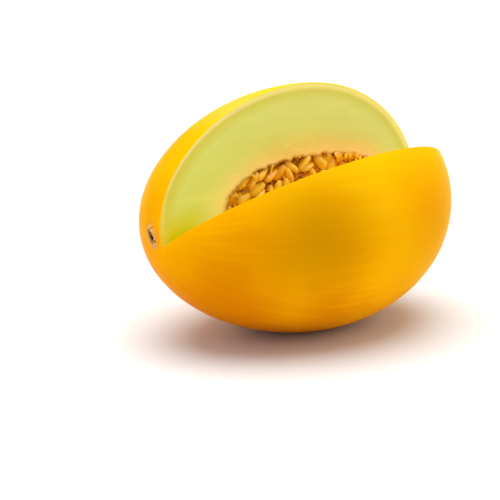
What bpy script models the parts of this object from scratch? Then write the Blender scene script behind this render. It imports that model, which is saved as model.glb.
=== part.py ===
# A canary melon lying on its side, with a lengthwise wedge cut out of it down to the seeds.
# Metres, +Z up. +X runs from the stem end to the blossom end and -Y is the front. The origin is on the
# ground under the middle of the fruit.
import math
import random

import bmesh
import bpy
from mathutils import Matrix, Vector

# The fruit, an ellipsoid of revolution about X that is a little fuller at the blossom end
HALF_LENGTH = 0.102
RADIUS = 0.0744
EGG = 0.08
FLAT_DEPTH = 0.0016
FRUIT_STEPS = 60
FRUIT_RINGS = 34

# The girth is widest a little towards the blossom end, and the flat that it rests on is cut there
AXIS_HEIGHT = RADIUS * (1 + EGG**2 / 2) - FLAT_DEPTH

# The corky scar where the stalk came off: a basin inside a low ring
SCAR_BASIN_RADIUS = 0.0038
SCAR_BASIN_DEPTH = 0.0016
SCAR_RING_RADIUS = 0.0056
SCAR_RING_HEIGHT = 0.0005
SCAR_FOOT_RADIUS = 0.0073

# The small button at the blossom end
BUTTON_RADIUS = 0.0035
BUTTON_HEIGHT = 0.0003

# The wedge. Angles are about X from +Y towards +Z, so 90 is straight up and 180 is the front.
# The two cuts meet on a line that runs a little askew to the axis and misses the scar.
LOWER_CUT_ANGLE = math.radians(144)
UPPER_CUT_ANGLE = math.radians(84)
CUT_LINE_AT_STEM = Vector((-HALF_LENGTH, -0.0087, -0.0070))
CUT_LINE_AT_BLOSSOM = Vector((HALF_LENGTH, 0.0087, 0.0019))
CUTTER_REACH = 0.20

# Each cut with the way its angle turns into the open wedge
CUTS = ((UPPER_CUT_ANGLE, 1), (LOWER_CUT_ANGLE, -1))

# The seed cavity, a fatter ellipsoid of revolution about the same axis
CAVITY_CENTRE = 0.012
CAVITY_HALF_LENGTH = 0.066
CAVITY_RADIUS = 0.0315
CAVITY_FULLNESS = 2.4
CAVITY_STEPS = 40
CAVITY_RINGS = 22

# The pulp in the cavity. Its notch lies deeper than the cuts, and the seeds stand out of it.
PULP_GAP = 0.0004
PULP_RECESS = 0.0048

# The seeds, flat and egg-shaped
SEED_LENGTH = 0.0116
SEED_WIDTH = 0.0056
SEED_THICKNESS = 0.0026
SEED_TAPER = 0.25
SEED_SIDES = 6
SEED_RINGS = 4
SEED_SPACING_ALONG = 0.0066
SEED_SPACING_OUT = 0.0050
SEED_SHIFT = 0.0022
SEED_LIFT = (0.0002, 0.0014)
SEED_TILT = 0.35
SEED_ROLLS = (0.0, 0.3, 1.4)
SEED_GAP = 0.0002
SEED_PASSES = 2
SEED_TRIES = 30
SEED_DRAW = 11

# Colours are linear red, green and blue
RIND_COLOUR = (0.90, 0.41, 0.006, 1.0)
RIND_ROUGHNESS = 0.38
FLESH_COLOUR = (0.69, 0.64, 0.16, 1.0)
FLESH_ROUGHNESS = 0.45
SEED_COLOUR = (0.74, 0.40, 0.10, 1.0)
SEED_ROUGHNESS = 0.35

SMALLEST_EDGE = 1e-6


def clear_scene():
    for thing in list(bpy.data.objects):
        bpy.data.objects.remove(thing, do_unlink=True)


def make_material(name, colour, roughness):
    material = bpy.data.materials.new(name)
    material.use_nodes = True
    material.diffuse_color = colour
    shader = material.node_tree.nodes["Principled BSDF"]
    shader.inputs["Base Color"].default_value = colour
    shader.inputs["Roughness"].default_value = roughness
    shader.inputs["Metallic"].default_value = 0.0
    return material


def make_mesh(name, bm, material):
    bmesh.ops.recalc_face_normals(bm, faces=bm.faces)
    mesh = bpy.data.meshes.new(name)
    bm.to_mesh(mesh)
    bm.free()
    mesh.materials.append(material)
    return mesh


def add_object(mesh, collection=None):
    made = bpy.data.objects.new(mesh.name, mesh)
    (collection or bpy.context.scene.collection).objects.link(made)
    return made


def as_cutter(cutter):
    cutter.hide_render = True
    cutter.display_type = "WIRE"
    return cutter


def apply_modifiers(target, used_up):
    """Makes the modifiers' result the object's own mesh and removes the objects that shaped it."""
    graph = bpy.context.evaluated_depsgraph_get()
    mesh = bpy.data.meshes.new_from_object(target.evaluated_get(graph))
    target.modifiers.clear()
    target.data = mesh
    for tool in used_up:
        bpy.data.objects.remove(tool, do_unlink=True)


def cut_away(target, cutters):
    for cutter in cutters:
        modifier = target.modifiers.new(cutter.name, "BOOLEAN")
        modifier.operation = "DIFFERENCE"
        modifier.solver = "EXACT"
        modifier.object = cutter
        modifier.material_mode = "TRANSFER"
    apply_modifiers(target, cutters)


def join_with(target, collection):
    modifier = target.modifiers.new(collection.name, "BOOLEAN")
    modifier.operation = "UNION"
    modifier.solver = "EXACT"
    modifier.operand_type = "COLLECTION"
    modifier.collection = collection
    apply_modifiers(target, list(collection.objects))
    bpy.data.collections.remove(collection)


def surface_round(face):
    """All faces of the closed surface that this face is part of."""
    found = {face}
    waiting = [face]
    while waiting:
        for edge in waiting.pop().edges:
            for neighbour in edge.link_faces:
                if neighbour not in found:
                    found.add(neighbour)
                    waiting.append(neighbour)
    return found


def keep_main_body(target):
    """Fills the hollows that joining sealed and drops scraps: only the largest surface stays."""
    bm = bmesh.new()
    bm.from_mesh(target.data)
    left = set(bm.faces)
    surfaces = []
    while left:
        surfaces.append(surface_round(next(iter(left))))
        left -= surfaces[-1]
    surfaces.sort(key=len)
    for surface in surfaces[:-1]:
        bmesh.ops.delete(bm, geom=list(surface), context="FACES")
    bm.to_mesh(target.data)
    bm.free()


def turned(name, profile, steps, material):
    """A solid turned about the fruit's axis. The profile runs from pole to pole as (x, radius)."""
    bm = bmesh.new()
    verts = [bm.verts.new((x, 0.0, radius)) for x, radius in profile]
    edges = [bm.edges.new(pair) for pair in zip(verts, verts[1:])]
    bmesh.ops.spin(bm, geom=verts + edges, axis=(1.0, 0.0, 0.0), angle=2 * math.pi, steps=steps)
    bmesh.ops.remove_doubles(bm, verts=bm.verts, dist=SMALLEST_EDGE)
    bmesh.ops.translate(bm, verts=bm.verts, vec=(0.0, 0.0, AXIS_HEIGHT))
    return add_object(make_mesh(name, bm, material))


def rind_radius(x):
    along = x / HALF_LENGTH
    return RADIUS * math.sqrt(1 - along**2) * (1 + EGG * along)


def rind_x(radius, side):
    """Where the rind has this radius near one end. The side is -1 at the stem and 1 at the blossom."""
    end_radius = RADIUS * (1 + side * EGG)
    return side * HALF_LENGTH * math.sqrt(1 - (radius / end_radius) ** 2)


def fruit_profile():
    scar = [
        (SCAR_BASIN_DEPTH - HALF_LENGTH, 0.0),
        (SCAR_BASIN_DEPTH - HALF_LENGTH, SCAR_BASIN_RADIUS / 2),
        (rind_x(SCAR_BASIN_RADIUS, -1), SCAR_BASIN_RADIUS),
        (rind_x(SCAR_RING_RADIUS, -1) - SCAR_RING_HEIGHT, SCAR_RING_RADIUS),
        (rind_x(SCAR_FOOT_RADIUS, -1), SCAR_FOOT_RADIUS),
    ]
    button = [
        (rind_x(BUTTON_RADIUS, 1) + BUTTON_HEIGHT, BUTTON_RADIUS),
        (HALF_LENGTH + BUTTON_HEIGHT, 0.0),
    ]
    rings = [-HALF_LENGTH * math.cos(math.pi * ring / FRUIT_RINGS) for ring in range(1, FRUIT_RINGS)]
    rind = [(x, rind_radius(x)) for x in rings if x > scar[-1][0] + SCAR_RING_HEIGHT]
    return scar + rind + button


def cavity_radius(x, gap=0.0):
    """The cavity's radius at x, or that of a smaller one which keeps this gap to its wall."""
    along = min(1.0, abs(x - CAVITY_CENTRE) / (CAVITY_HALF_LENGTH - gap))
    return (CAVITY_RADIUS - gap) * (1 - along**CAVITY_FULLNESS) ** (1 / CAVITY_FULLNESS)


def cavity_profile(gap=0.0):
    half_length = CAVITY_HALF_LENGTH - gap
    rings = [-math.cos(math.pi * ring / CAVITY_RINGS) for ring in range(1, CAVITY_RINGS)]
    wall = [(CAVITY_CENTRE + half_length * along) for along in rings]
    profile = [(x, cavity_radius(x, gap)) for x in wall]
    return [(CAVITY_CENTRE - half_length, 0.0)] + profile + [(CAVITY_CENTRE + half_length, 0.0)]


def outward(angle):
    return Vector((0.0, math.cos(angle), math.sin(angle)))


def cut_line_point(x, recess=0.0):
    """A point of the line where the cuts meet, or would meet if both lay deeper by the recess."""
    share = (x + HALF_LENGTH) / (2 * HALF_LENGTH)
    point = CUT_LINE_AT_STEM.lerp(CUT_LINE_AT_BLOSSOM, share)
    half_angle = (LOWER_CUT_ANGLE - UPPER_CUT_ANGLE) / 2
    deeper = outward(UPPER_CUT_ANGLE + half_angle) * (recess / math.sin(half_angle))
    return point - deeper + Vector((0.0, 0.0, AXIS_HEIGHT))


def make_wedge(name, recess, material):
    """A three-sided bar along the cut line, whose two long faces are the cuts."""
    bm = bmesh.new()
    near = cut_line_point(-CUTTER_REACH, recess)
    far = cut_line_point(CUTTER_REACH, recess)
    arms = (Vector(), outward(UPPER_CUT_ANGLE), outward(LOWER_CUT_ANGLE))
    triangle = bm.faces.new([bm.verts.new(near + CUTTER_REACH * arm) for arm in arms])
    grown = bmesh.ops.extrude_face_region(bm, geom=[triangle], use_keep_orig=True)["geom"]
    end = [item for item in grown if isinstance(item, bmesh.types.BMVert)]
    bmesh.ops.translate(bm, verts=end, vec=far - near)
    return as_cutter(add_object(make_mesh(name, bm, material)))


def make_ground(material):
    """A block whose top is the ground, to cut the flat spot."""
    bm = bmesh.new()
    size = 4 * HALF_LENGTH
    bmesh.ops.create_cube(bm, size=size, matrix=Matrix.Translation((0.0, 0.0, -size / 2)))
    return as_cutter(add_object(make_mesh("ground", bm, material)))


def make_fruit(rind, flesh):
    fruit = turned("fruit", fruit_profile(), FRUIT_STEPS, rind)
    ground = make_ground(rind)
    wedge = make_wedge("wedge", 0.0, flesh)
    cavity = as_cutter(turned("cavity", cavity_profile(), CAVITY_STEPS, flesh))
    cut_away(fruit, (ground, wedge, cavity))


def make_seed_mesh(material):
    """One seed with its pointed end at -X and its flat sides up and down."""
    bm = bmesh.new()
    poles_along_x = Matrix.Rotation(math.pi / 2, 4, "Y")
    bmesh.ops.create_uvsphere(
        bm, u_segments=SEED_SIDES, v_segments=SEED_RINGS, radius=0.5, matrix=poles_along_x
    )
    for vert in bm.verts:
        vert.co.y *= SEED_WIDTH * (1 + 2 * SEED_TAPER * vert.co.x)
        vert.co.z *= SEED_THICKNESS
        vert.co.x *= SEED_LENGTH
    return make_mesh("seed", bm, material)


def up_from_cut(angle, side):
    """The way that faces out of the flesh at this cut, square to the cut in a plane across the fruit."""
    return Vector((side, 0.0, 0.0)).cross(outward(angle))


def in_wedge(point):
    """Whether the point is in the part that is cut out, or closer to it than the gap."""
    rise = point - cut_line_point(point.x)
    return all(rise.dot(up_from_cut(angle, side)) > -SEED_GAP for angle, side in CUTS)


def in_wall(point):
    return math.hypot(point.y, point.z - AXIS_HEIGHT) > cavity_radius(point.x, PULP_GAP + SEED_GAP)


def in_seed(point, into_seed):
    """Whether the point is in another seed, or closer to it than the gap."""
    x, y, z = into_seed @ point
    far_x = 2 * x / (SEED_LENGTH + 2 * SEED_GAP)
    far_y = 2 * y / (SEED_WIDTH + 2 * SEED_GAP)
    far_z = 2 * z / (SEED_THICKNESS + 2 * SEED_GAP)
    return far_x**2 + far_y**2 + far_z**2 < 1


def meet(place, points, other_place, other_points):
    if (place.translation - other_place.translation).length > SEED_LENGTH:
        return False
    into_other = other_place.inverted()
    into_this = place.inverted()
    return any(in_seed(point, into_other) for point in points) or any(
        in_seed(point, into_this) for point in other_points
    )


def seed_spots():
    """Staggered rows of spots over both faces of the pulp's notch, with the ways out and up from each."""
    rows = int(2 * CAVITY_HALF_LENGTH / SEED_SPACING_ALONG)
    columns = int(1.3 * CAVITY_RADIUS / SEED_SPACING_OUT)
    for angle, side in CUTS:
        out = outward(angle)
        up = up_from_cut(angle, side)
        for row in range(rows + 1):
            for column in range(columns + 1):
                stagger = 0.5 * (column % 2)
                x = CAVITY_CENTRE - CAVITY_HALF_LENGTH + (row + stagger) * SEED_SPACING_ALONG
                yield cut_line_point(x, PULP_RECESS) + column * SEED_SPACING_OUT * out, out, up


def draw_place(draw, spot, out, up):
    """A seed near this spot, turned any way along the pulp's face and lying flat or on its edge."""
    along = Vector((draw.uniform(-SEED_SHIFT, SEED_SHIFT), 0.0, 0.0))
    shift = along + draw.uniform(-SEED_SHIFT, SEED_SHIFT) * out + draw.uniform(*SEED_LIFT) * up
    facing = Matrix((-out, out.cross(up), up)).transposed().to_4x4()
    swing = Matrix.Rotation(draw.uniform(-math.pi / 2, math.pi / 2), 4, "Z")
    tilt = Matrix.Rotation(draw.uniform(-SEED_TILT, SEED_TILT), 4, "Y")
    roll = Matrix.Rotation(draw.choice(SEED_ROLLS) + draw.uniform(-SEED_TILT, SEED_TILT), 4, "X")
    return Matrix.Translation(spot + shift) @ facing @ swing @ tilt @ roll


def seed_places(seed_points):
    """Seeds over both faces of the pulp's notch, in the cavity, below the cuts and clear of each other."""
    draw = random.Random(SEED_DRAW)
    placed = []
    for spot, out, up in list(seed_spots()) * SEED_PASSES:
        for _ in range(SEED_TRIES):
            place = draw_place(draw, spot, out, up)
            points = [place @ point for point in seed_points]
            outside = any(in_wall(point) or in_wedge(point) for point in points)
            if not outside and not any(meet(place, points, *other) for other in placed):
                placed.append((place, points))
                break
    return [place for place, points in placed]


def make_seed_mass(material):
    pulp = turned("seed_mass", cavity_profile(PULP_GAP), CAVITY_STEPS, material)
    cut_away(pulp, (make_wedge("notch", PULP_RECESS, material),))
    seeds = bpy.data.collections.new("seeds")
    bpy.context.scene.collection.children.link(seeds)
    mesh = make_seed_mesh(material)
    for place in seed_places([vert.co for vert in mesh.vertices]):
        add_object(mesh, seeds).matrix_world = place
    join_with(pulp, seeds)
    keep_main_body(pulp)


def smooth_rounds():
    for shown in bpy.context.scene.objects:
        shown.data.shade_smooth()
        shown.data.set_sharp_from_angle(angle=math.radians(35))


def main():
    clear_scene()
    rind = make_material("rind", RIND_COLOUR, RIND_ROUGHNESS)
    flesh = make_material("flesh", FLESH_COLOUR, FLESH_ROUGHNESS)
    seeds = make_material("seeds_and_pulp", SEED_COLOUR, SEED_ROUGHNESS)
    make_fruit(rind, flesh)
    make_seed_mass(seeds)
    smooth_rounds()


main()
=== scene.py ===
import math
import random
from functools import partial

import bpy
from mathutils import Euler, Matrix, Vector, noise


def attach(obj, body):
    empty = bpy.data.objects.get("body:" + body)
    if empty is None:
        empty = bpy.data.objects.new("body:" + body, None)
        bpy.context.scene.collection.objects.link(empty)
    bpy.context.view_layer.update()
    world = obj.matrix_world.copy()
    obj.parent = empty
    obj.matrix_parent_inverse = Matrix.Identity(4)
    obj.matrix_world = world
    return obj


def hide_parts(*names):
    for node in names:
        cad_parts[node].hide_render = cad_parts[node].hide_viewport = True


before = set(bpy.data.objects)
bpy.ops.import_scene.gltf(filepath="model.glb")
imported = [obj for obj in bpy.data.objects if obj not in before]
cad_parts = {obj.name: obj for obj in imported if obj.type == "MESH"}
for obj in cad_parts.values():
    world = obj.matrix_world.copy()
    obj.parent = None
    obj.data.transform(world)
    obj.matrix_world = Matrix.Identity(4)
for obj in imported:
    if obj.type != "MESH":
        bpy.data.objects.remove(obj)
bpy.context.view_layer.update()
print("frame loaded")

# Sizes are in metres. +X is the blossom end, -Y the front and +Z up, as in the frame.
fruit = dict(
    halfLength=0.102,
    radius=0.0744,
    egg=0.08,              # how much fuller it is towards the blossom end
    flatDepth=0.0016,      # what the resting flat takes off the belly
    skin=0.0008,
    dentFloor=0.0040,      # the dent that takes the stem scar: where its floor ends, where its rim is
    dentRim=0.0060,
    dentDepth=0.0026,
    dentStart=-0.085,      # only what lies past this place along X is dented
    skinWave=0.0142857,    # from one faint wave of the skin to the next, and the same on the cuts
    cutWave=0.010,
    skinRelief=0.0006,
    cutRelief=0.0002,
    cutStart=0.05,         # how far in, as a share of the way, the relief becomes the cut's
    stillHeight=0.006,     # below this the waves die out, so that the resting flat stays flat
)
axisHeight = fruit["radius"] * (1 + fruit["egg"] ** 2 / 2) - fruit["flatDepth"]

wedge = dict(
    upperAngle=math.radians(84),     # about X, from +Y towards +Z
    lowerAngle=math.radians(144),
    lineAtStem=Vector((-0.102, -0.0087, -0.0070)),      # where the two cuts meet, from the axis
    lineAtBlossom=Vector((0.102, 0.0087, 0.0019)),
)
alongUpperCut = Vector((0.5, 0.0, 1.0))      # rises from the stem's corner over the top to the far end

cavity = dict(
    middle=0.012,
    halfLength=0.066,
    radius=0.0315,
    fullness=2.4,          # 2 is an ellipse, more is boxier
    pulpRecess=0.0048,     # how far the pulp's notch lies under the cuts
    lining=0.0004,         # how much flesh the wall carries at the least, and at its lumps
    lumpyLining=0.0026,
    liningLump=0.0045,     # from one lump to the next
    tear=0.00238095,       # from one tear of its edge to the next, how wide they are and how deep
    tearWidth=0.0022,
    tearDepth=0.0014,
    pulpLump=0.00434783,   # from one lump of the pulp to the next
    pulpRelief=0.0065,
)

# Kinds of node and settings that come up often. The notes say what a node takes, in this order.
mathNode = "ShaderNodeMath"
vectorNode = "ShaderNodeVectorMath"
rangeNode = "ShaderNodeMapRange"      # a value, what it runs from and to, and what these become
noiseNode = "ShaderNodeTexNoise"      # a place, the scale, the detail and the roughness
mixNode = "ShaderNodeMix"             # a share, and what it mixes: at 0 all the first, at 1 all the second
rampNode = "ShaderNodeValToRGB"
joinNode = "ShaderNodeCombineXYZ"
splitNode = "ShaderNodeSeparateXYZ"
storeNode = "GeometryNodeStoreNamedAttribute"
readNode = "GeometryNodeInputNamedAttribute"
randomNode = "FunctionNodeRandomValue"
moveNode = "GeometryNodeSetPosition"
times = dict(operation="MULTIPLY")
timesPlus = dict(operation="MULTIPLY_ADD")
minus = dict(operation="SUBTRACT")
over = dict(operation="DIVIDE")
eased = dict(interpolation_type="SMOOTHSTEP")
inColour = dict(data_type="RGBA")
noiseSpan = (0.3, 0.7)     # nearly all of a noise lies between these


# sRGB hex to the linear colour that a shader takes
def colourFromHex(text):
    channels = [int(text[at:at + 2], 16) / 255 for at in (1, 3, 5)]
    linear = [part / 12.92 if part <= 0.04045 else ((part + 0.055) / 1.055) ** 2.4 for part in channels]
    return linear + [1.0]


# Fills a node's inputs, by name or in the order that Blender shows. A node or a socket is linked, a hex
# colour is turned linear, and anything else is typed in.
def fillInputs(tree, node, inputs):
    shown = [socket for socket in node.inputs if socket.enabled]
    if isinstance(inputs, dict):
        named = {socket.name: socket for socket in shown}
        shown = [named[name] for name in inputs]
        inputs = inputs.values()
    for socket, value in zip(shown, inputs):
        if isinstance(value, bpy.types.Node):
            value = next(output for output in value.outputs if output.enabled)
        if isinstance(value, bpy.types.NodeSocket):
            tree.links.new(value, socket)
        elif isinstance(value, str) and value.startswith("#"):
            socket.default_value = colourFromHex(value)
        else:
            socket.default_value = value


# Adds a node with its settings and inputs. Without an operation a math node adds.
def addNode(tree, kind, *inputs, **settings):
    node = tree.nodes.new(kind)
    for name, value in settings.items():
        setattr(node, name, value)
    fillInputs(tree, node, inputs[0] if inputs and isinstance(inputs[0], dict) else inputs)
    return node


# Spreads (place, colour) stops over a colour ramp. A third value is the stop's alpha.
def fillRamp(ramp, stops):
    elements = ramp.color_ramp.elements
    while len(elements) < len(stops):
        elements.new(0.5)
    for element, (place, colour, *alpha) in zip(elements, stops):
        element.position = place
        element.color = colourFromHex(colour)
        if alpha:
            element.alpha = alpha[0]
    return ramp


# Lays colours over a colour, each one by its own share
def addLayers(add, colour, layers):
    for share, layer in layers:
        colour = add(mixNode, share, colour, layer, **inColour)
    return colour


# A geometry tree with one named input for each size
def newTree(name, sizes):
    socketKinds = {float: "NodeSocketFloat", int: "NodeSocketInt", Vector: "NodeSocketVector"}
    tree = bpy.data.node_groups.new(name, "GeometryNodeTree")
    for way in ("INPUT", "OUTPUT"):
        tree.interface.new_socket("Geometry", in_out=way, socket_type="NodeSocketGeometry")
    for label, value in sizes.items():
        kind = socketKinds.get(type(value), "NodeSocketMaterial")
        tree.interface.new_socket(label, in_out="INPUT", socket_type=kind)
    return tree, partial(addNode, tree), tree.nodes.new("NodeGroupInput").outputs


# Every tree ends in Realize Instances, smooth shading and Set Material
def endTree(tree, geometry, material):
    realized = addNode(tree, "GeometryNodeRealizeInstances", geometry)
    smooth = addNode(tree, "GeometryNodeSetShadeSmooth", realized)
    dressed = addNode(tree, "GeometryNodeSetMaterial", {"Geometry": smooth, "Material": material})
    addNode(tree, "NodeGroupOutput", dressed)
    return tree


# Gives every copy a tint of its own, for the material to read
def tintCopies(add, copies, seed):
    tint = add(randomNode, {"Seed": seed})
    return add(storeNode, {"Geometry": copies, "Name": "tint", "Value": tint}, domain="INSTANCE")


def addObject(name, data):
    item = bpy.data.objects.new(name, data)
    bpy.context.scene.collection.objects.link(item)
    return item


# Runs a tree over a mesh, or over nothing, and keeps the result as a plain mesh
def growPiece(name, tree, sizes, base=None, sharpAngle=None):
    piece = addObject(name, base or bpy.data.meshes.new(name))
    modifier = piece.modifiers.new(name, "NODES")
    modifier.node_group = tree
    for item in tree.interface.items_tree:
        if item.in_out == "INPUT" and item.name in sizes:
            modifier[item.identifier] = sizes[item.name]
    graph = bpy.context.evaluated_depsgraph_get()
    mesh = bpy.data.meshes.new_from_object(piece.evaluated_get(graph))
    piece.modifiers.clear()
    piece.data = mesh
    mesh.name = name
    if sharpAngle:
        mesh.set_sharp_from_angle(angle=sharpAngle)
    print(name, len(mesh.polygons), "faces")
    return piece


# A tree's sizes with some changes, in which an underscore stands for a space
def changed(sizes, **changes):
    return sizes | {label.replace("_", " "): value for label, value in changes.items()}


# A material, its tree's way to add a node, and the marks on the piece's points that its patterns follow
def newMaterial(name, *marks):
    material = bpy.data.materials.new(name)
    material.use_nodes = True
    add = partial(addNode, material.node_tree)
    return material, add, *[add("ShaderNodeAttribute", attribute_name=mark).outputs["Fac"] for mark in marks]


# Fills the sockets of a material's own shader
def fillShader(material, inputs):
    fillInputs(material.node_tree, material.node_tree.nodes["Principled BSDF"], inputs)
    return material


# The way from the axis at an angle about X
def outward(angle):
    return Vector((0.0, math.cos(angle), math.sin(angle)))


# A point of the line where the two cuts meet, or would meet if both lay deeper by the recess
def cutLinePoint(x, recess=0.0):
    share = (x + fruit["halfLength"]) / (2 * fruit["halfLength"])
    point = wedge["lineAtStem"].lerp(wedge["lineAtBlossom"], share)
    halfAngle = (wedge["lowerAngle"] - wedge["upperAngle"]) / 2
    deeper = outward(wedge["upperAngle"] + halfAngle) * (recess / math.sin(halfAngle))
    return point - deeper + Vector((0.0, 0.0, axisHeight))


cutLineWay = (wedge["lineAtBlossom"] - wedge["lineAtStem"]).normalized()
cutLineTurn = Vector((0.0, -math.asin(cutLineWay.z), math.atan2(cutLineWay.y, cutLineWay.x)))


# A cut's angle about the cut line itself, which runs a little askew to X
def angleAboutLine(angle):
    inPlane = outward(angle) - cutLineWay * outward(angle).dot(cutLineWay)
    turned = Euler(cutLineTurn).to_matrix().inverted() @ inPlane
    return math.atan2(turned.z, turned.y) % (2 * math.pi)


# A place as seen from a middle, the part of that which lies across X, and how long this part is
def addOffAxis(add, place, middle=(0, 0, axisHeight)):
    fromMiddle = add(vectorNode, place, middle, **minus)
    across = add(vectorNode, fromMiddle, (0, 1, 1), **times)
    return fromMiddle, across, add(vectorNode, across, operation="LENGTH")


# How far a ray goes from the start to a rounded body about X. Each round corrects the last guess.
def addReach(add, given, ray, whose, rounds=8):
    middle = add(joinNode, {"X": given[whose + "Middle"], "Z": axisHeight})
    reach = given[whose + "Radius"]
    for _ in range(rounds):
        point = add(vectorNode, ray, reach, given["Start"], **timesPlus)
        fromMiddle, _, offAxis = addOffAxis(add, point, middle)
        along = add(mathNode, add(splitNode, fromMiddle), given[whose + "Half Length"], **over)
        fuller = add(mathNode, along, given[whose + "Egg"], 1.0, **timesPlus)
        girth = add(mathNode, fuller, given[whose + "Radius"], **times)
        outOfGirth = add(mathNode, offAxis, girth, **over)
        shares = add(vectorNode, add(joinNode, along, outOfGirth), operation="ABSOLUTE")
        powers = add(vectorNode, shares, given[whose + "Fullness"], operation="POWER")
        total = add(vectorNode, powers, (1, 1, 0), operation="DOT_PRODUCT")
        root = add(mathNode, 1.0, given[whose + "Fullness"], **over)
        size = add(mathNode, total, root, operation="POWER")
        reach = add(mathNode, reach, size, **over)
    return reach


# The tree for all that has the wedge cut out of it: skin, flesh and pulp. A flat grid is wrapped round the
# body with its rows along the cut line. Its columns go round the outside, in over the upper cut, back along
# the inner wall and out over the lower cut.
def makeCutBodyTree(sizes):
    tree, add, given = newTree("cut body", sizes)
    faceEnd = add(mathNode, given["Outer Columns"], given["Face Columns"])
    innerEnd = add(mathNode, faceEnd, given["Inner Columns"])
    lastColumn = add(mathNode, innerEnd, given["Face Columns"])
    columns = add(mathNode, lastColumn, 1.0)
    body = add("GeometryNodeMeshGrid", 1.0, 1.0, given["Rows"], columns)

    # Where each point of the grid goes: how far round, and how far in
    flat = add(splitNode, add("GeometryNodeInputPosition"))
    fromEdge = add(mathNode, flat.outputs["Y"], 0.5)
    column = add(mathNode, fromEdge, lastColumn, **times)
    offLine = add(mathNode, flat, math.pi, math.pi / 2, **timesPlus)
    outerTurn = add(rangeNode, column, 0.0, given["Outer Columns"], given["From Angle"], given["To Angle"])
    wholeTurn = add(mathNode, given["To Angle"], given["From Angle"], **minus)
    innerTurn = add(rangeNode, column, faceEnd, innerEnd, 0.0, wholeTurn)
    turn = add(mathNode, outerTurn, innerTurn, **minus)
    goingIn = add(rangeNode, column, given["Outer Columns"], faceEnd)
    goingOut = add(rangeNode, column, innerEnd, lastColumn)
    evenDepth = add(mathNode, goingIn, goingOut, **minus)
    leftOver = add(mathNode, 1.0, evenDepth, **minus)
    crowded = add(mathNode, leftOver, given["Crowding"], operation="POWER")
    depth = add(mathNode, 1.0, crowded, **minus)

    # The ray of the point, and how far out on it the point lies
    sideways = add(mathNode, offLine, operation="SINE")
    lengthwise = add(joinNode, add(mathNode, offLine, operation="COSINE"))
    roundLine = add(joinNode, {"Y": add(mathNode, turn, operation="COSINE"),
                               "Z": add(mathNode, turn, operation="SINE")})
    plainRay = add(vectorNode, roundLine, sideways, lengthwise, **timesPlus)
    ray = add("ShaderNodeVectorRotate", {"Vector": plainRay, "Rotation": given["Line Turn"]},
              rotation_type="EULER_XYZ")
    outerReach = addReach(add, given, ray, "")
    evenReach = addReach(add, given, ray, "Inner ")
    evenWall = add(vectorNode, ray, evenReach, given["Start"], **timesPlus)
    waviness = add(noiseNode, evenWall, given["Wall Scale"], 2.0, 0.6)
    wave = add(rangeNode, waviness, *noiseSpan, 0.0, given["Wall Relief"])
    wallReach = add(mathNode, evenReach, wave, **minus)
    innerReach = add(mathNode, wallReach, given["Hollow"], **times)
    reach = add(mixNode, depth, outerReach, innerReach)
    roundPoint = add(vectorNode, ray, reach, given["Start"], **timesPlus)

    # The belly is flat where it rests, and the stem end is dented to take its scar
    spot = add(splitNode, roundPoint)
    belly = add(mathNode, depth, given["Belly Step"], given["Belly"], **timesPlus)
    offAxis = addOffAxis(add, roundPoint)[-1]
    dent = add(rangeNode, offAxis, fruit["dentFloor"], fruit["dentRim"], fruit["dentDepth"], 0.0)
    atStem = add(mathNode, spot, fruit["dentStart"], operation="LESS_THAN")
    dentedX = add(mathNode, dent, atStem, spot, **timesPlus)
    aboveFloor = add(mathNode, spot.outputs["Z"], belly, operation="MAXIMUM")
    place = add(joinNode, dentedX, spot.outputs["Y"], aboveFloor)

    # What the relief and the materials ask for, kept on the points
    otherSide = add(mathNode, wholeTurn, innerTurn, **minus)
    nearerSide = add(mathNode, innerTurn, otherSide, operation="MINIMUM")
    sideShare = add(mathNode, nearerSide, operation="SINE")
    fromLine = add(mathNode, reach, sideways, **times)
    sinceLip = add(mathNode, outerTurn, given["From Angle"], **minus)
    marks = dict(
        fromLip=add(mathNode, sinceLip, fromLine, **times),
        belowSkin=add(mathNode, outerReach, reach, **minus),
        fromWall=add(mathNode, reach, wallReach, **minus),
        fromLine=fromLine,
        belowCut=add(mathNode, fromLine, sideShare, **times),
        inwards=depth,
    )
    for label, value in marks.items():
        body = add(storeNode, {"Geometry": body, "Name": label, "Value": value})
    body = add(moveNode, {"Geometry": body, "Position": place})
    body = add("GeometryNodeMergeByDistance", {"Geometry": body, "Distance": 1e-6})

    # Relief of the skin and of the cut, and the torn edge that the knife leaves at the cavity
    nowAt = add("GeometryNodeInputPosition")
    stretched = add(vectorNode, nowAt, given["Relief Stretch"], **times)
    grain = add(noiseNode, stretched, given["Relief Scale"], 3.0, 0.6)
    evenGrain = add(mathNode, grain, given["Relief Level"], **minus)
    inwards = add(readNode, "inwards")
    relief = add(rangeNode, inwards, 0.0, fruit["cutStart"], given["Skin Relief"], given["Cut Relief"])
    waves = add(mathNode, evenGrain, relief, **times)
    nearWall = add(rangeNode, add(readNode, "fromWall"), 0.0, given["Torn Width"], 1.0, 0.0, **eased)
    raggedness = add(noiseNode, nowAt, given["Torn Scale"], 3.0, 0.65)
    bite = add(rangeNode, raggedness, *noiseSpan, 0.0, given["Torn Depth"])
    torn = add(mathNode, nearWall, bite, **times)
    rise = add(mathNode, waves, torn, **minus)
    offFloor = add(rangeNode, add(splitNode, nowAt).outputs["Z"], 0.0, fruit["stillHeight"])
    settled = add(mathNode, rise, offFloor, **times)
    lift = add(vectorNode, add("GeometryNodeInputNormal"), settled, **times)
    return endTree(tree, add(moveNode, {"Geometry": body, "Offset": lift}), given["Material"])


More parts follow.
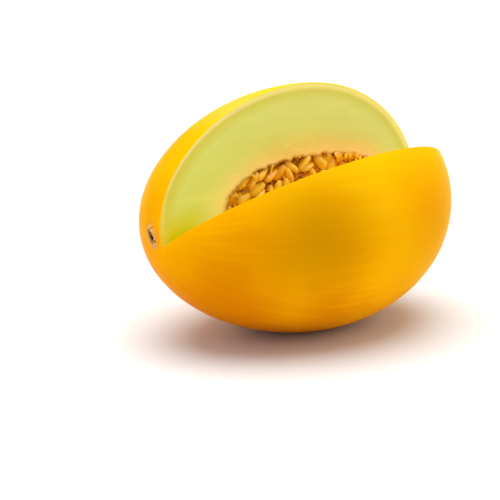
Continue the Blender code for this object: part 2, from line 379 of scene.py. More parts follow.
# In each look, a pair for a fade gives the places where it starts and ends
rindLook = dict(
    tones=((0.07, "#e68800"), (0.19, "#feb200"), (0.34, "#ffc80c")),    # ripe, golden and lemon
    # Patches laid over the rind's tone, mostly painted shade and one painted sheen: colour, where from the
    # axis, how far it reaches, how strong
    shadeAndSheenPatches=(
        # Painted shade on the front, the studio's dark side
        ("#ce8c00", Vector((-0.033, -0.068, 0.003)), 0.060, 0.90),
        # Painted shade that tones down the upper back of the stem end, which the left softbox lights
        # strongly
        ("#f9a400", Vector((-0.080, 0.025, 0.036)), 0.080, 0.95),
        # Painted shade on the lower front towards the stem
        ("#da7e00", Vector((-0.080, -0.036, -0.040)), 0.056, 0.85),
        # Painted shade on the front towards the blossom end
        ("#e89a00", Vector((0.048, -0.067, 0.006)), 0.060, 0.80),
        # Darker by the stem scar
        ("#da9900", Vector((-0.098, 0.004, 0.0165)), 0.024, 0.70),
        # A painted pale sheen over the top, a little deeper than the lemon tone
        ("#eebc3c", Vector((-0.036, 0.008, 0.068)), 0.036, 0.90),
    ),
    palingAndTopLight=Vector((0.4, 0.0, 1.7)),   # how much paler each metre is, towards the blossom end and the top; paler towards the top is painted light from above
    patchiness=0.30,
    streakiness=0.12,
    ripePatch=0.060,       # from one ripe patch to the next
    streakAround=0.0035,   # lengthwise streaks: how wide, and how long
    streakLong=0.060,
    cutEdge=("#fcc010", "#ffee3c"),   # the skin's cut edge, at the stem's corner and further on
    edgeFade=(-0.03, 0.05),
    edgeDepth=0.02,
    lipHighlightWidth=0.0014,       # a painted highlight along the lower cut's edge, where the rounded skin catches light from above
    lipHighlightStrength=0.7,
    cork="#c8953a",
    freckle=0.0011,        # from one to the next
    freckleStrength=0.6,
    freckleFade=(0.006, 0.016),       # from the axis
    freckleAmount=(0.12, -0.3),       # how readily they show at both ends of that
    freckleCutoff=(0.58, 0.66),
    pore=0.0009,           # real pores are 0.2 mm, too fine to show
    streakHeight=3.0,      # how high a streak stands beside a pore
    bump={"Strength": 0.3, "Distance": 0.00012},
    roughness=(0.26, 0.34),
    gloss={"IOR": 1.45, "Specular IOR Level": 0.005, "Specular Tint": (1.0, 0.72, 0.08, 1.0)},
)


# Rind: smooth waxy skin of a ripe fruit. It gives the eye a saturated yellow with a broad soft sheen. Its
# shade on the front and lower sides, its paleness towards the top, a whitish sheen on its top and the bright
# line along the lower cut's lip are painted.
def makeRindMaterial():
    look = rindLook
    material, add, inwards, fromLip = newMaterial("waxy canary rind", "inwards", "fromLip")
    place = add("ShaderNodeTexCoord").outputs["Object"]
    fromAxis, across, offAxis = addOffAxis(add, place)
    around = add(vectorNode, across, offAxis, **over)
    # Round the fruit a noise of scale s has features of radius / s, and lengthwise of 1 / (s * stretch)
    streakScale = fruit["radius"] / look["streakAround"]
    stretch = 1 / (streakScale * look["streakLong"])
    streakPlace = add(vectorNode, fromAxis, (stretch, 0, 0), around, **timesPlus)
    streaks = add(noiseNode, streakPlace, streakScale, 4.0, 0.55)
    patches = add(noiseNode, place, 1 / look["ripePatch"], 2.0)
    paler = add(vectorNode, fromAxis, look["palingAndTopLight"], operation="DOT_PRODUCT")
    patchy = add(mathNode, patches, look["patchiness"], paler, **timesPlus)
    uneven = add(mathNode, streaks, look["streakiness"], patchy, **timesPlus)
    layers = []
    # Painted shade and sheen, patch by patch
    for patchColour, middle, reach, strength in look["shadeAndSheenPatches"]:
        toMiddle = add(vectorNode, fromAxis, middle, operation="DISTANCE")
        layers.append((add(rangeNode, toMiddle, 0.0, reach, strength, 0.0, **eased), patchColour))

    # Corky freckles close to the two scars
    freckles = add(noiseNode, place, 1 / look["freckle"], 2.0)
    nearScar = add(rangeNode, offAxis, *look["freckleFade"], *look["freckleAmount"])
    freckled = add(mathNode, freckles, nearScar)
    corky = add(rangeNode, freckled, *look["freckleCutoff"], 0.0, look["freckleStrength"])

    # The cut edge, and a painted highlight along the lower cut's lip
    cutShare = add(rangeNode, inwards, 0.0, look["edgeDepth"])
    lipHighlightShare = add(rangeNode, fromLip, 0.0, look["lipHighlightWidth"], look["lipHighlightStrength"], 0.0)
    edgeShare = add(mathNode, cutShare, lipHighlightShare, operation="MAXIMUM")
    alongEdge = add(vectorNode, fromAxis, alongUpperCut, operation="DOT_PRODUCT")
    edgeColour = add(mixNode, add(rangeNode, alongEdge, *look["edgeFade"]), *look["cutEdge"], **inColour)

    tone = fillRamp(add(rampNode, uneven), look["tones"])
    colour = addLayers(add, tone, layers + [(corky, look["cork"]), (edgeShare, edgeColour)])
    pores = add(noiseNode, place, 1 / look["pore"], 1.0)
    height = add(mathNode, streaks, look["streakHeight"], pores, **timesPlus)
    bump = add("ShaderNodeBump", look["bump"] | {"Height": height})
    roughness = add(rangeNode, patches, *noiseSpan, *look["roughness"])
    return fillShader(material, look["gloss"] | {
        "Base Color": colour, "Roughness": roughness, "Normal": bump})


fleshLook = dict(
    # From the skin inwards, as shares of the depth that the skin's colours go
    fromSkin=((0.0, "#f8c22a"), (0.06, "#dccb4c"), (0.25, "#d6cc50"), (0.65, "#dcdb74")),
    skinDepth=0.016,
    # The pale line inside the skin, from the stem's corner over the top to the far end: place along it,
    # colour, width as a share of the widest
    rim=((0.06, "#ecca48", 1.0), (0.21, "#eeda70", 0.30), (0.41, "#fde4ac", 0.24), (0.61, "#fde6a8", 0.32),
         (0.95, "#ffec88", 0.56)),
    rimEnds=(axisHeight - 0.06, axisHeight + 0.08),
    rimWidth=0.0055,
    rimFade=(0.2, 1.5),    # in widths
    rimStrength=0.9,
    # From the cavity outwards: place, colour, how much it covers
    fromCavity=((0.0, "#fcd484", 1.0), (0.08, "#fcd484", 1.0), (0.38, "#f1d06c", 0.85),
                (1.0, "#dcdb74", 0.0)),
    cavityFade=(0.006, 0.027),
    wander=0.012,          # how far the clouds push these colours about
    pale="#f8e494",        # towards the stem the flesh at the cavity is paler
    paleFade=(-0.050, -0.015),
    paleStrength=0.65,
    wall=("#c0922c", "#f5ac44"),      # the cavity's wall, towards the stem and towards the blossom: the olive towards the stem is painted shade at the cavity's edge, the orange towards the blossom is the wall's own colour
    wallFade=(-0.02, 0.03),
    shadeStart=-0.0005,
    shadeEnd=(0.0052, 0.0024),        # how far its colour comes out over the cut, at both ends of this:
    shadeFade=(-0.045, -0.020),
    notch="#dacc00",       # where the two cuts meet: painted bounce light and shade, a deeper, more saturated yellow in the corner
    notchDepth=0.022,
    notchStrength=1.4,
    notchOffWall=(0.010, 0.028),
    notchOffSkin=(0.003, 0.008),
    notchAtSkin=0.1,       # what is left of it there
    streak="#fff0b8",      # pale fibres that show as lines near the cavity: how wide, how long
    streakWide=0.0011,
    streakLong=0.024,
    streakCutoff=(0.69, 0.80),
    streakFade=(0.006, 0.018),
    streakStrength=0.5,
    cloud=0.030,           # from one cloudy patch to the next
    vein=0.006,            # faint veins along the fruit: how wide, and how long
    veinLong=0.030,
    veinContrast=(0.98, 1.02),
    fibre=0.0016,          # real cells are 0.3 mm, too fine to show
    bump={"Strength": 0.4, "Distance": 0.0002},
    roughness=(0.26, 0.42),
    gloss={"IOR": 1.36, "Specular IOR Level": 0.4, "Subsurface Weight": 0.25, "Subsurface Scale": 1.0,
           "Subsurface Radius": (0.005, 0.004, 0.0015)},
)


# Flesh: moist, fine-grained and a little see-through. It is pale green, yellow under the skin and
# peach-coloured where it turns stringy at the cavity. Shade at the cavity's edge towards the stem and in the
# corner where the cuts meet is painted.
def makeFleshMaterial():
    look = fleshLook
    material, add, below, wall, fromLine = newMaterial(
        "moist melon flesh", "belowSkin", "fromWall", "fromLine")
    place = add("ShaderNodeTexCoord").outputs["Object"]
    x = add(splitNode, place)
    clouds = add(noiseNode, place, 1 / look["cloud"], 2.0)
    grain = add(noiseNode, place, 1 / look["fibre"], 3.0)

    # From the skin inwards
    outer = fillRamp(add(rampNode, add(rangeNode, below, 0.0, look["skinDepth"])), look["fromSkin"])
    alongRim = add(vectorNode, place, alongUpperCut, operation="DOT_PRODUCT")
    rim = fillRamp(add(rampNode, add(rangeNode, alongRim, *look["rimEnds"])), look["rim"])
    widest = add(mathNode, below, look["rimWidth"], **over)
    acrossRim = add(mathNode, widest, rim.outputs["Alpha"], **over)
    rimShare = add(rangeNode, acrossRim, *look["rimFade"], look["rimStrength"], 0.0, **eased)

    # From the cavity's wall outwards, with painted shade over the cut near the stem end
    wandering = add(mathNode, clouds, look["wander"], wall, **timesPlus)
    inner = fillRamp(add(rampNode, add(rangeNode, wandering, *look["cavityFade"])), look["fromCavity"])
    paleShare = add(rangeNode, x, *look["paleFade"], look["paleStrength"], 0.0)
    innerPale = add(mixNode, paleShare, inner, look["pale"], **inColour)
    wallAndShadeColour = add(mixNode, add(rangeNode, x, *look["wallFade"]), *look["wall"], **inColour)
    shadeEnd = add(rangeNode, x, *look["shadeFade"], *look["shadeEnd"])
    atWall = add(rangeNode, wall, look["shadeStart"], shadeEnd, 1.0, 0.0, **eased)

    # Painted bounce light and shade where the two cuts meet
    deep = add(rangeNode, fromLine, 0.0, look["notchDepth"], look["notchStrength"], 0.0)
    offWall = add(rangeNode, wall, *look["notchOffWall"])
    offSkin = add(rangeNode, below, *look["notchOffSkin"], look["notchAtSkin"], 1.0)
    away = add(mathNode, offWall, offSkin, **times)
    notchLightAndShadeShare = add(mathNode, deep, away, **times, use_clamp=True)

    # Pale fibres and faint veins
    streakStretch = (look["streakWide"] / look["streakLong"], 1, 1)
    streakPlace = add(vectorNode, place, streakStretch, **times)
    streaks = add(noiseNode, streakPlace, 1 / look["streakWide"], 0.0)
    streaky = add(rangeNode, streaks, *look["streakCutoff"], 0.0, look["streakStrength"])
    nearCavity = add(rangeNode, wall, *look["streakFade"], 1.0, 0.0)
    streakShare = add(mathNode, streaky, nearCavity, **times)
    colour = addLayers(add, outer, (
        (rimShare, rim), (inner.outputs["Alpha"], innerPale), (atWall, wallAndShadeColour),
        (notchLightAndShadeShare, look["notch"]), (streakShare, look["streak"])))
    veinPlace = add(vectorNode, place, (look["vein"] / look["veinLong"], 1, 1), **times)
    veins = add(noiseNode, veinPlace, 1 / look["vein"], 2.0)
    mottle = add(rangeNode, veins, *noiseSpan, *look["veinContrast"])
    mottled = add(vectorNode, colour, mottle, **times)
    bump = add("ShaderNodeBump", look["bump"] | {"Height": grain})
    roughness = add(rangeNode, grain, *noiseSpan, *look["roughness"])
    return fillShader(material, look["gloss"] | {
        "Base Color": mottled, "Roughness": roughness, "Normal": bump})


pulpLook = dict(
    tones=((0.36, "#763c02"), (0.50, "#d0880c"), (0.68, "#fbae18")),    # hollows, body and lumps; the hollows' brown is partly painted shade
    thread=0.0024,         # from one to the next
    darkest=-0.012,        # along X, and how far off it towards both ends the pulp is lighter
    lighterFade=(0.022, 0.048),
    lighterBy=0.26,
    bump={"Strength": 0.8, "Distance": 0.0006},
    gloss={"Roughness": 0.22, "IOR": 1.36, "Specular IOR Level": 0.35},
)


# Pulp: wet stringy tissue round the seeds, brown in its hollows and shining orange on its lumps. The brown
# is partly its own colour and partly painted shade, for the hollows and the gaps behind the seeds.
def makePulpMaterial():
    look = pulpLook
    material, add = newMaterial("wet orange pulp")
    place = add("ShaderNodeTexCoord").outputs["Object"]
    strings = add(noiseNode, {
        "Vector": place, "Scale": 1 / look["thread"], "Detail": 4.0, "Distortion": 1.2})
    fromDarkest = add(mathNode, add(splitNode, place), look["darkest"], **minus)
    offDarkest = add(mathNode, fromDarkest, operation="ABSOLUTE")
    lighter = add(rangeNode, offDarkest, *look["lighterFade"], 0.0, look["lighterBy"])
    tone = fillRamp(add(rampNode, add(mathNode, strings, lighter)), look["tones"])
    bump = add("ShaderNodeBump", look["bump"] | {"Height": strings})
    return fillShader(material, look["gloss"] | {"Base Color": tone, "Normal": bump})


seedLook = dict(
    tones=((0.3, "#ee9602"), (0.7, "#fab00e"), (1.0, "#ffcc2c")),       # amber, straw and cream
    edge="#ffd880",        # the thin edge of a hull lets light through
    edgeFade=(0.5, 1.0),   # 0 is the middle of its flank, 1 the edge
    edgeStrength=0.3,
    film=0.004,            # from one thick place of the juice to the next
    filmContrast=0.6,
    paleFade=(-0.030, -0.008),        # along X, towards the stem the seeds are paler: painted light, where they lie more in the light
    paleStrength=0.45,
    gloss={"Roughness": 0.24, "IOR": 1.42, "Specular IOR Level": 0.35, "Coat Weight": 0.4,
           "Coat Roughness": 0.06},
)


# Seeds: smooth hulls in a film of juice, amber to cream, with small bright highlights
def makeSeedMaterial():
    look = seedLook
    material, add, tint, hullEdge = newMaterial("wet melon seed hulls", "tint", "hullEdge")
    place = add("ShaderNodeTexCoord").outputs["Object"]
    film = add(noiseNode, place, 1 / look["film"], 2.0)
    uneven = add(mathNode, film, look["filmContrast"], tint, **timesPlus)
    # Painted light: the seeds towards the stem are paler
    atStem = add(rangeNode, add(splitNode, place), *look["paleFade"], look["paleStrength"], 0.0)
    tone = fillRamp(add(rampNode, add(mathNode, uneven, atStem)), look["tones"])
    edgeShare = add(rangeNode, hullEdge, *look["edgeFade"], 0.0, look["edgeStrength"])
    edged = add(mixNode, edgeShare, tone, look["edge"], **inColour)
    return fillShader(material, look["gloss"] | {"Base Color": edged})


strandLook = dict(
    tones=((0.0, "#ffe4b4"), (0.32, "#ffcc10"), (1.0, "#ffbc06")),      # root, side and tip; the pale root is partly painted whitish glints
    tintContrast=0.35,
    gloss={"Roughness": 0.28, "IOR": 1.36, "Specular IOR Level": 0.3},
)


# Strands: thin wet threads of flesh, the flesh's peach where they grow and orange towards their tips. Their
# pale roots are partly their own colour and partly painted whitish glints.
def makeStrandMaterial():
    look = strandLook
    material, add, tint, towardsTip = newMaterial("wet melon threads", "tint", "towardsTip")
    depth = add(mathNode, tint, look["tintContrast"], towardsTip, **timesPlus)
    tone = fillRamp(add(rampNode, depth), look["tones"])
    return fillShader(material, look["gloss"] | {"Base Color": tone})


rindMaterial = makeRindMaterial()
fleshMaterial = makeFleshMaterial()
pulpMaterial = makePulpMaterial()
seedMaterial = makeSeedMaterial()
strandMaterial = makeStrandMaterial()
print("materials made")

# Sizes that skin, flesh and pulp share. The changes for each one follow.
cutBodySizes = {
    "Start": cutLinePoint(cavity["middle"]),
    "Line Turn": cutLineTurn,
    "From Angle": angleAboutLine(wedge["lowerAngle"]),
    "To Angle": angleAboutLine(wedge["upperAngle"]) + 2 * math.pi,
    "Rows": 241,
    "Outer Columns": 60,
    "Face Columns": 64,
    "Inner Columns": 40,
    "Crowding": 1.0,        # above 1 the columns of a cut crowd towards its inner end
    "Middle": 0.0,
    "Half Length": fruit["halfLength"],
    "Radius": fruit["radius"],
    "Egg": fruit["egg"],
    "Fullness": 2.0,
    "Inner Middle": cavity["middle"],
    "Inner Half Length": cavity["halfLength"],
    "Inner Radius": cavity["radius"],
    "Inner Egg": 0.0,
    "Inner Fullness": cavity["fullness"],
    "Hollow": 1.0,
    "Belly": 0.0,
    "Belly Step": fruit["skin"],
    "Relief Stretch": Vector((1.0, 1.0, 1.0)),
    "Relief Scale": 1 / fruit["cutWave"],
    "Relief Level": 0.5,
    "Skin Relief": 0.0,
    "Cut Relief": 0.0,
    "Wall Scale": 1 / cavity["liningLump"],
    "Wall Relief": 0.0,
    "Torn Width": cavity["tearWidth"],
    "Torn Scale": 1 / cavity["tear"],
    "Torn Depth": 0.0,
    "Material": rindMaterial,
}
cutBodyTree = makeCutBodyTree(cutBodySizes)
sharpAngle = math.radians(50)
hair = 0.00002    # keeps the faces of skin and flesh from lying in each other

rind = growPiece("rind", cutBodyTree, changed(
    cutBodySizes,
    Outer_Columns=240,
    Face_Columns=3,
    Inner_Middle=0.0,
    Inner_Half_Length=fruit["halfLength"] - fruit["skin"],
    Inner_Radius=fruit["radius"] - fruit["skin"],
    Inner_Egg=fruit["egg"],
    Inner_Fullness=2.0,
    Relief_Stretch=Vector((0.18, 1.0, 1.0)),
    Relief_Scale=1 / fruit["skinWave"],
    Skin_Relief=fruit["skinRelief"],
), sharpAngle=sharpAngle)

flesh = growPiece("flesh", cutBodyTree, changed(
    cutBodySizes,
    Rows=281,
    Inner_Columns=48,
    Crowding=1.5,
    Half_Length=fruit["halfLength"] - fruit["skin"] - hair,
    Radius=fruit["radius"] - fruit["skin"] - hair,
    Belly=fruit["skin"] + hair,
    Inner_Half_Length=cavity["halfLength"] - cavity["lining"],
    Inner_Radius=cavity["radius"] - cavity["lining"],
    Cut_Relief=fruit["cutRelief"],
    Wall_Relief=cavity["lumpyLining"] - cavity["lining"],
    Torn_Depth=cavity["tearDepth"],
    Material=fleshMaterial,
), sharpAngle=sharpAngle)

pulp = growPiece("pulp", cutBodyTree, changed(
    cutBodySizes,
    Start=cutLinePoint(cavity["middle"], cavity["pulpRecess"]),
    Inner_Columns=1,
    Middle=cavity["middle"],
    Half_Length=cavity["halfLength"],
    Radius=cavity["radius"],
    Egg=0.0,
    Fullness=cavity["fullness"],
    Hollow=0.0,
    Relief_Scale=1 / cavity["pulpLump"],
    Relief_Level=0.55,
    Cut_Relief=cavity["pulpRelief"],
    Material=pulpMaterial,
))

seeds = dict(
    length=0.0116,
    width=0.0056,
    thickness=0.0026,
    taper=0.25,
    bluntness=-0.45,
    spacingAlong=0.0066,
    spacingOut=0.0050,
    shift=0.0022,
    lift=(0.0002, 0.0014),
    tilt=0.35,
    rolls=(0.0, 0.3, 1.4),   # flat, leaning or on the edge
    gap=0.0002,
    pulpGap=0.0004,
    reach=1.3,               # how far out from the cuts' line they are tried, in radii of the cavity
    passes=2,
    tries=30,
    draw=11,
    film=0.0011,             # the juice and pulp that cling all round a seed
    sink=0.0034,             # towards the stem the seeds lie deeper in the pulp
    sinkFrom=-0.030,
    sinkTo=-0.038,
)


# The way out of the flesh at a cut: the side is 1 for the upper cut and -1 for the lower one
def upFromCut(angle, side):
    return Vector((side, 0.0, 0.0)).cross(outward(angle))


cuts = ((wedge["upperAngle"], 1), (wedge["lowerAngle"], -1))


# Points all over a seed, to see what it would touch
def seedPoints(rings=4, sides=6):
    points = [Vector((seeds["length"] / 2, 0, 0)), Vector((-seeds["length"] / 2, 0, 0))]
    for ring in range(1, rings):
        bend = math.pi * ring / rings
        along, across = 0.5 * math.cos(bend), 0.5 * math.sin(bend)
        for side in range(sides):
            turn = 2 * math.pi * side / sides
            points.append(Vector((
                along * seeds["length"],
                across * math.sin(turn) * seeds["width"] * (1 + 2 * seeds["taper"] * along),
                across * math.cos(turn) * seeds["thickness"],
            )))
    return points


def cavityRadius(x, gap):
    along = min(1.0, abs(x - cavity["middle"]) / (cavity["halfLength"] - gap))
    return (cavity["radius"] - gap) * (1 - along ** cavity["fullness"]) ** (1 / cavity["fullness"])


def inWedge(point):
    rise = point - cutLinePoint(point.x)
    return all(rise.dot(upFromCut(angle, side)) > -seeds["gap"] for angle, side in cuts)


def inWall(point):
    free = cavityRadius(point.x, seeds["pulpGap"] + seeds["gap"])
    return math.hypot(point.y, point.z - axisHeight) > free


def inSeed(point, intoSeed):
    sizes = [seeds[label] + 2 * seeds["gap"] for label in ("length", "width", "thickness")]
    return sum((2 * part / size) ** 2 for part, size in zip(intoSeed @ point, sizes)) < 1


def seedsMeet(place, points, otherPlace, otherPoints):
    if (place.translation - otherPlace.translation).length > seeds["length"]:
        return False
    intoThis, intoOther = place.inverted(), otherPlace.inverted()
    return (any(inSeed(point, intoOther) for point in points)
            or any(inSeed(point, intoThis) for point in otherPoints))


def seedSpots():
    rows = int(2 * cavity["halfLength"] / seeds["spacingAlong"])
    columns = int(seeds["reach"] * cavity["radius"] / seeds["spacingOut"])
    stemEnd = cavity["middle"] - cavity["halfLength"]
    for angle, side in cuts:
        out = outward(angle)
        for row in range(rows + 1):
            for column in range(columns + 1):
                x = stemEnd + (row + 0.5 * (column % 2)) * seeds["spacingAlong"]
                spot = cutLinePoint(x, cavity["pulpRecess"]) + column * seeds["spacingOut"] * out
                yield spot, out, upFromCut(angle, side)


def drawSeedPlace(draw, spot, out, up):
    shift, tilt = seeds["shift"], seeds["tilt"]
    along = Vector((draw.uniform(-shift, shift), 0.0, 0.0))
    moved = spot + along + draw.uniform(-shift, shift) * out + draw.uniform(*seeds["lift"]) * up
    facing = Matrix((-out, out.cross(up), up)).transposed().to_4x4()
    swing = Matrix.Rotation(draw.uniform(-math.pi / 2, math.pi / 2), 4, "Z")
    lean = Matrix.Rotation(draw.uniform(-tilt, tilt), 4, "Y")
    roll = Matrix.Rotation(draw.choice(seeds["rolls"]) + draw.uniform(-tilt, tilt), 4, "X")
    return Matrix.Translation(moved) @ facing @ swing @ lean @ roll


def sunk(place, up):
    share = (seeds["sinkFrom"] - place.translation.x) / (seeds["sinkFrom"] - seeds["sinkTo"])
    return Matrix.Translation(-seeds["sink"] * max(0.0, min(1.0, share)) * up) @ place


# Seeds over both faces of the pulp's notch, in the cavity, below the cuts and clear of each other
def seedPlaces():
    draw = random.Random(seeds["draw"])
    shape = seedPoints()
    placed = []
    ups = []
    for spot, out, up in list(seedSpots()) * seeds["passes"]:
        for _ in range(seeds["tries"]):
            place = drawSeedPlace(draw, spot, out, up)
            points = [place @ point for point in shape]
            outside = any(inWall(point) or inWedge(point) for point in points)
            if not outside and not any(seedsMeet(place, points, *other) for other in placed):
                placed.append((place, points))
                ups.append(up)
                break
    return [sunk(place, up) for (place, points), up in zip(placed, ups)]


# A mesh of single points, each with the turn of the seed that goes on it
def pointsMesh(name, places):
    mesh = bpy.data.meshes.new(name)
    mesh.from_pydata([place.translation for place in places], [], [])
    turns = mesh.attributes.new("turn", "FLOAT_VECTOR", "POINT")
    for item, place in zip(turns.data, places):
        item.vector = place.to_euler()
    return mesh


# The tree that sets one seed, made from a ball, on each point
def makeSeedTree(sizes):
    tree, add, given = newTree("seeds", sizes)
    ball = add("GeometryNodeMeshUVSphere", {"Segments": 8, "Rings": 7, "Radius": 0.5})
    onBall = add(splitNode, add("GeometryNodeInputPosition")).outputs
    doubleTaper = add(mathNode, given["Taper"], 2.0, **times)
    taper = add(mathNode, onBall["Z"], doubleTaper, 1.0, **timesPlus)
    # Towards its ends a seed is fuller than a ball
    offPole = add(vectorNode, add(joinNode, onBall["X"], onBall["Y"]), 2.0, operation="SCALE")
    ballWidth = add(vectorNode, offPole, operation="LENGTH")
    safeWidth = add(mathNode, ballWidth, 0.01, operation="MAXIMUM")     # at the very poles it is nothing
    blunt = add(mathNode, safeWidth, given["Bluntness"], operation="POWER")
    fullness = add(mathNode, taper, blunt, **times)
    across = add(mathNode, onBall["X"], fullness, **times)
    through = add(mathNode, onBall["Y"], blunt, **times)
    size = add(joinNode, given["Length"], given["Width"], given["Thickness"])
    shape = add(vectorNode, add(joinNode, onBall["Z"], across, through), size, **times)
    flank = add(mathNode, onBall["Y"], operation="ABSOLUTE")
    offFlank = add(mathNode, flank, -2.0, 1.0, **timesPlus)
    marked = add(storeNode, {"Geometry": ball, "Name": "hullEdge", "Value": offFlank})
    seed = add(moveNode, {"Geometry": marked, "Position": shape})
    turn = add("FunctionNodeEulerToRotation", add(readNode, "turn", data_type="FLOAT_VECTOR"))
    spots = add("GeometryNodeMeshToPoints", given["Geometry"])
    copies = add("GeometryNodeInstanceOnPoints", {"Points": spots, "Instance": seed, "Rotation": turn})
    return endTree(tree, tintCopies(add, copies, given["Seed"]), given["Material"])


seedSizes = {
    "Length": seeds["length"],
    "Width": seeds["width"] + seeds["film"],
    "Thickness": seeds["thickness"] + 2 * seeds["film"],
    "Taper": seeds["taper"],
    "Bluntness": seeds["bluntness"],
    "Seed": 5,
    "Material": seedMaterial,
}
seedSpotsMesh = pointsMesh("seed spots", seedPlaces())
seedPiece = growPiece("seeds", makeSeedTree(seedSizes), seedSizes, base=seedSpotsMesh)


# The tree for the wet threads that a knife leaves at the cavity. Each grows from a point of the body it is
# given, close to the wall and to a cut, runs in towards the seeds and hangs down.
def makeStrandTree(sizes):
    tree, add, given = newTree("strands", sizes)
    length = given["Length"]
    bendAt = 0.45    # as a share of the length
    bow = add(joinNode, {"X": add(mathNode, length, bendAt, **times),
                         "Z": add(mathNode, length, given["Arch"], **times)})
    end = add(joinNode, {"X": length, "Z": add(mathNode, length, given["Drop"], **times)})
    line = add("GeometryNodeCurveQuadraticBezier", {
        "Resolution": 5, "Start": (0, 0, 0), "Middle": bow, "End": end})
    towardsTip = add("GeometryNodeSplineParameter")
    marked = add(storeNode, {"Geometry": line, "Name": "towardsTip", "Value": towardsTip})
    tip = add(mathNode, given["Thickness"], given["Tip"], **times)
    thinning = add(rangeNode, towardsTip, 0.0, 1.0, given["Thickness"], tip)
    section = add("GeometryNodeCurvePrimitiveCircle", {"Resolution": 5, "Radius": 0.5})
    strand = add("GeometryNodeCurveToMesh", {
        "Curve": marked, "Profile Curve": section, "Scale": thinning, "Fill Caps": True})

    # Where they grow, and how thickly
    rootPlace = add("GeometryNodeInputPosition")
    byWall = add(mathNode, add(readNode, "fromWall"), given["Wall Band"], operation="LESS_THAN")
    byCut = add(mathNode, add(readNode, "belowCut"), given["Cut Band"], operation="LESS_THAN")
    inside = add(mathNode, add(readNode, "inwards"), 0.3, operation="GREATER_THAN")    # off the skin
    growth = add(rangeNode, add(splitNode, rootPlace), given["Sparse Until"], given["Thick From"],
                 given["Sparseness"], 1.0)
    density = given["Density"]
    for share in (byWall, byCut, inside, growth):
        density = add(mathNode, density, share, **times)
    roots = add("GeometryNodeDistributePointsOnFaces", {
        "Mesh": given["Geometry"], "Density": density, "Seed": given["Seed"]})

    # Each one's turn and size
    towards = add(vectorNode, given["Middle"], rootPlace, **minus)
    squarely = add(vectorNode, towards, given["Square"], **times)
    facing = add("FunctionNodeAxesToRotation", squarely, roots.outputs["Normal"],
                 primary_axis="X", secondary_axis="Z")
    lowest = add(vectorNode, given["Spread"], -1.0, operation="SCALE")
    stray = add(randomNode, {"Min": lowest, "Max": given["Spread"], "Seed": given["Seed"]},
                data_type="FLOAT_VECTOR")
    turn = add("FunctionNodeRotateRotation", facing, add("FunctionNodeEulerToRotation", stray),
               rotation_space="LOCAL")
    size = add(randomNode, {"Min": 0.4, "Max": 1.3, "Seed": given["Seed"]})
    copies = add("GeometryNodeInstanceOnPoints", {
        "Points": roots, "Instance": strand, "Rotation": turn, "Scale": size})
    otherSeed = add(mathNode, given["Seed"], 7.0)
    return endTree(tree, tintCopies(add, copies, otherSeed), given["Material"])


edgeStrandSizes = {
    "Length": 0.0046,
    "Thickness": 0.0019,
    "Tip": 0.25,
    "Arch": 0.0,
    "Drop": -0.5,
    "Wall Band": 0.0006,        # how close to the wall and to the cut they grow
    "Cut Band": 0.0016,
    "Density": 560000.0,
    "Sparse Until": 0.022,      # along X, where the growth starts to thicken, and where it is full
    "Thick From": 0.034,
    "Sparseness": 0.08,
    "Middle": cutLinePoint(cavity["middle"]),
    "Square": Vector((0.25, 1.0, 1.0)),
    "Spread": Vector((0.5, 0.5, 0.6)),
    "Seed": 3,
    "Material": strandMaterial,
}
strandTree = makeStrandTree(edgeStrandSizes)
edgeStrands = growPiece("edge_strands", strandTree, edgeStrandSizes, base=flesh.data.copy())
pulpStrands = growPiece("pulp_strands", strandTree, changed(
    edgeStrandSizes,
    Length=0.008,
    Thickness=0.0009,
    Tip=0.5,
    Arch=1.3,
    Drop=0.05,
    Wall_Band=0.1,
    Cut_Band=0.1,
    Density=70000.0,
    Sparseness=1.0,
    Spread=Vector((0.8, 0.3, 3.1)),
    Seed=8,
), base=pulp.data.copy())


stemScar = dict(
    end=-1,               # -1 is the stem end, 1 the blossom end
    middle=(-0.0004, -0.0012),   # y and z, from the axis
    radius=0.0075,
    rings=40,
    sides=96,
    width=0.0046,         # the cork itself is an oval that leans: half its width and half its height
    height=0.0070,
    lean=0.30,
    ringShare=0.72,       # where its ring lies, as a share of the oval
    ringHeight=0.0007,
    ringWidth=0.20,
    basinDepth=0.0006,
    lump=0.0030,          # from one lump of the ring to the next
    ragged=0.25,          # how uneven the oval and the ring are
    lumpy=0.9,
    # Deep cracks: from, to, half the width and the depth
    cracks=(((0.0036, 0.0032), (0.0004, -0.0017), 0.0013, 0.0036),
            ((-0.0012, -0.0007), (-0.0035, -0.0023), 0.0010, 0.0026),
            ((0.0010, -0.0026), (-0.0020, -0.0054), 0.0008, 0.0013),
            ((-0.0010, 0.0052), (0.0014, 0.0040), 0.0005, 0.0010)),
    crevice=0.0024,       # from one fine crevice to the next
    creviceDepth=0.0004,
    creviceWidth=0.10,    # as a value of the noise, and how far out they go, as a share of the oval
    creviceReach=0.85,
    grain=0.0011,
    roughness=0.0004,
    roughReach=1.15,      # where the roughness ends, and over how wide a band, as shares of the oval
    roughFade=0.4,
    edge=0.00004,         # how far its rim stands off the skin, and how far its edge is tucked in
    tuck=0.0004,
    thickness=0.0030,
    backShare=0.8,        # its hidden back, as a share of its radius
)
blossomScar = stemScar | dict(
    end=1,
    middle=(0.0, 0.0),
    radius=0.0040,
    rings=16,
    sides=64,
    width=0.0034,
    height=0.0034,
    lean=0.0,
    ringShare=0.55,
    ringHeight=0.0004,
    ringWidth=0.30,
    basinDepth=0.0004,
    lump=0.0020,
    cracks=(),
    crevice=0.0022,
    creviceDepth=0.0003,
    grain=0.0008,
    roughness=0.0002,
    thickness=0.0012,
)


# Where the rind's end lies along X at a distance from the axis
def endOfRind(offAxis, end):
    low, high = 0.0, 1.0
    for _ in range(40):
        share = (low + high) / 2
        girth = fruit["radius"] * math.sqrt(max(0.0, 1 - share ** 2)) * (1 + fruit["egg"] * share * end)
        low, high = (share, high) if girth > offAxis else (low, share)
    return end * fruit["halfLength"] * share


